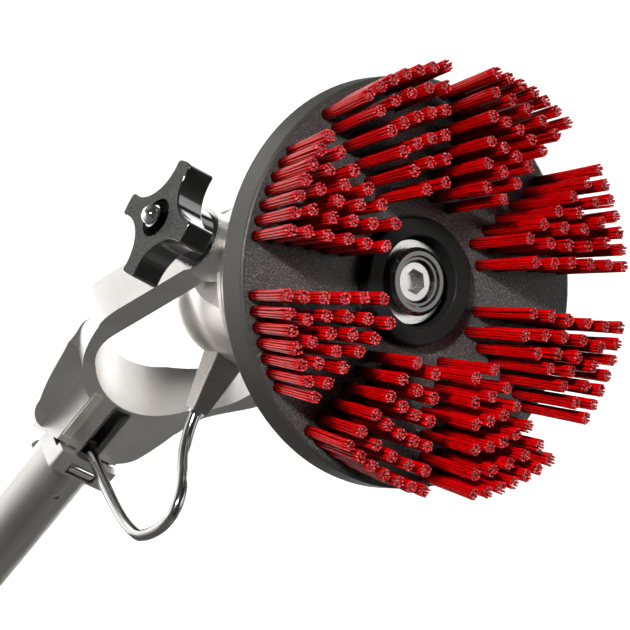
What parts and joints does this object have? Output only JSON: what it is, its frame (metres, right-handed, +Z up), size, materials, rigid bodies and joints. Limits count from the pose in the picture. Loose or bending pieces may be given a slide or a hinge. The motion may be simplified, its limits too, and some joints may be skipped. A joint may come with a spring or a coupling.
{
  "type": "wheel brush",
  "caption": "Rotary wheel-washing brush: red bristle tufts on a dark disc, turbine head tilting in a fork on a round pole, clamp knob and feed tube.",
  "frame": {"origin": "centre of the pole's lower end", "axes": "+Z up along the pole, -Y the side that the brush faces, the tilt axis along X"},
  "size_m": [0.1896, 0.2321, 0.584],
  "materials": {
    "cast_alloy": "satin blasted casting",
    "plate_alloy": "brushed plate",
    "housing_alloy": "satin spun shell",
    "nipple_alloy": "machined facets",
    "bright_chrome": "polished",
    "steel_line": "bright drawn tube",
    "pole_steel": "brushed along the tube",
    "dark_disc": "dark grey, fine moulded grain",
    "black_plastic": "black",
    "red_bristle": "deep red filament",
    "steel_parts": "turned steel",
    "brass_parts": "turned brass",
    "seal_rubber": "black rubber",
    "nylon_washer": "off-white nylon",
    "hose_rubber": "black hose"
  },
  "bodies": {
    "handle": {"yoke": "cast_alloy", "nameplate": "plate_alloy", "thrust_washers": "nylon_washer", "knob_washer": "steel_parts", "bolt_washer": "steel_parts", "slot_guide": "black_plastic", "elbow_fitting": "brass_parts", "feed_tube": "steel_line", "supply_hose": "hose_rubber", "pole": "pole_steel", "pole_collar": "cast_alloy", "collar_screw": "bright_chrome", "latch_spring": "steel_parts", "snap_spring": "steel_parts", "pole_end_plug": "black_plastic", "hose_connector": "brass_parts"},
    "head": {"housing_dome": "housing_alloy", "housing_gasket": "seal_rubber", "housing_cover": "housing_alloy", "cover_screws": "steel_parts", "bearing_circlip": "steel_parts", "shaft_seal": "seal_rubber", "inlet_nipple": "nipple_alloy", "tube_nut": "bright_chrome", "jet_nozzle": "brass_parts", "clamp_stud": "steel_parts", "dome_nut": "bright_chrome", "pivot_bolt": "steel_parts", "front_bearing_outer": "steel_parts", "rear_bearing_outer": "steel_parts"},
    "brush": {"brush_disc": "dark_disc", "tuft_sector_1": "red_bristle", "tuft_sector_2": "red_bristle", "tuft_sector_3": "red_bristle", "tuft_sector_4": "red_bristle", "tuft_sector_5": "red_bristle", "tuft_sector_6": "red_bristle", "tuft_sector_7": "red_bristle", "tuft_sector_8": "red_bristle", "hub_insert": "steel_parts", "hub_collar": "black_plastic", "disc_screw": "steel_parts", "drive_pins": "steel_parts", "drive_flange": "steel_parts", "spindle": "steel_parts", "turbine_wheel": "brass_parts", "turbine_nut": "steel_parts", "front_bearing_inner": "steel_parts", "front_bearing_balls": "steel_parts", "rear_bearing_inner": "steel_parts", "rear_bearing_balls": "steel_parts"},
    "clamp_knob": {"knob": "black_plastic", "knob_insert": "brass_parts"},
    "latch": {"latch_roller": "bright_chrome"},
    "release_button": {"snap_button": "bright_chrome"}
  },
  "joints": [
    {"name": "head_tilt", "type": "hinge", "parent": "handle", "child": "head", "pos_m": [0, -0.0494, 0.4305], "axis": [1, 0, 0], "range_deg": [-25, 25], "deforming": ["feed_tube"]},
    {"name": "brush_spin", "type": "hinge", "parent": "head", "child": "brush", "pos_m": [0, -0.08853, 0.46163], "axis": [0, -0.7826, 0.6225], "continuous": true},
    {"name": "knob_turn", "type": "hinge", "parent": "head", "child": "clamp_knob", "pos_m": [-0.065, -0.0494, 0.4305], "axis": [1, 0, 0], "continuous": true},
    {"name": "latch_push", "type": "slide", "parent": "handle", "child": "latch", "axis": [0, 1, 0], "range_m": [0, 0.002], "stiffness_N_per_m": 1500, "springref_m": -0.0005, "deforming": ["latch_spring"]},
    {"name": "button_push", "type": "slide", "parent": "handle", "child": "release_button", "axis": [0, -1, 0], "range_m": [0, 0.0104], "stiffness_N_per_m": 400, "springref_m": -0.002, "deforming": ["snap_spring"]}
  ]
}
